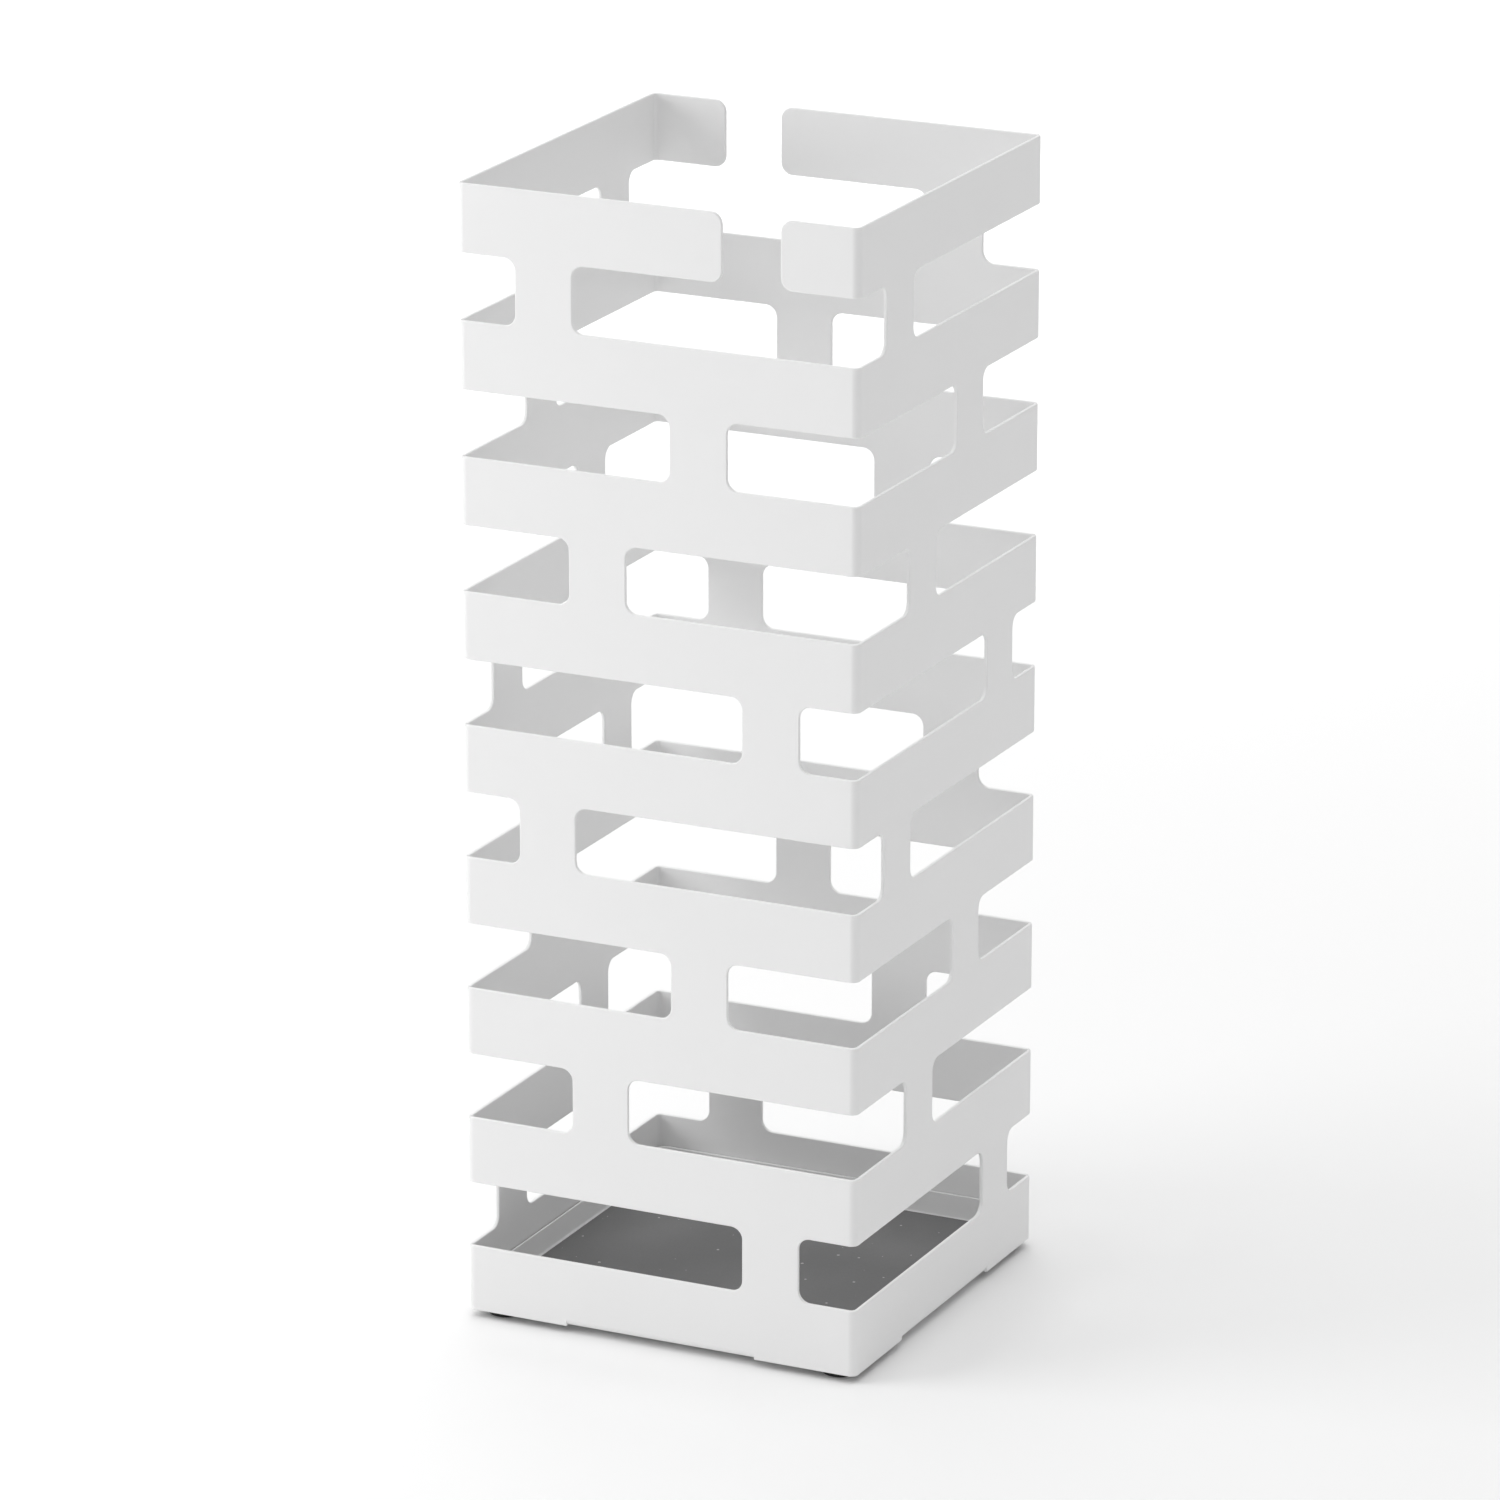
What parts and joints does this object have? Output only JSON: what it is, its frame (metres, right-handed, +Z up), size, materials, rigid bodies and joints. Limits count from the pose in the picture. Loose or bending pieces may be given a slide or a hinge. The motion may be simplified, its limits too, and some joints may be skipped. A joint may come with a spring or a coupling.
{
  "type": "umbrella stand",
  "caption": "Square tube umbrella stand of white coated sheet steel with a running-brick pattern of openings, a lift-out drip tray, a dark mat and rubber feet.",
  "frame": {"origin": "on the floor under the centre of the square tube, at the undersides of the feet", "axes": "+Z up; the wall with the slot that shows in front faces -Y, and +X is to the right seen from the front"},
  "size_m": [0.165, 0.165, 0.45],
  "materials": {
    "body_coat": "white satin powder coat on sheet steel, with a faint fine orange-peel texture",
    "tray_coat": "white satin powder coat on thin sheet steel",
    "mat_foam": "dark grey dense foam sheet, matt, with a fine closed-cell grain and small pale specks",
    "foot_rubber": "black matt rubber"
  },
  "bodies": {
    "stand": {"front_right_sheet": "body_coat", "back_left_sheet": "body_coat", "front_left_seam_welds": "body_coat", "back_right_seam_welds": "body_coat", "base_plate": "body_coat", "base_plate_welds": "body_coat", "foot_front_left": "foot_rubber", "foot_front_right": "foot_rubber", "foot_back_right": "foot_rubber", "foot_back_left": "foot_rubber"},
    "tray": {"drip_tray": "tray_coat"},
    "mat": {"tray_mat": "mat_foam"}
  },
  "joints": [
    {"name": "tray_lift", "type": "slide", "parent": "stand", "child": "tray", "axis": [0, 0, 1], "range_m": [0, 0.46]},
    {"name": "mat_lift", "type": "slide", "parent": "tray", "child": "mat", "axis": [0, 0, 1], "range_m": [0, 0.46]}
  ]
}
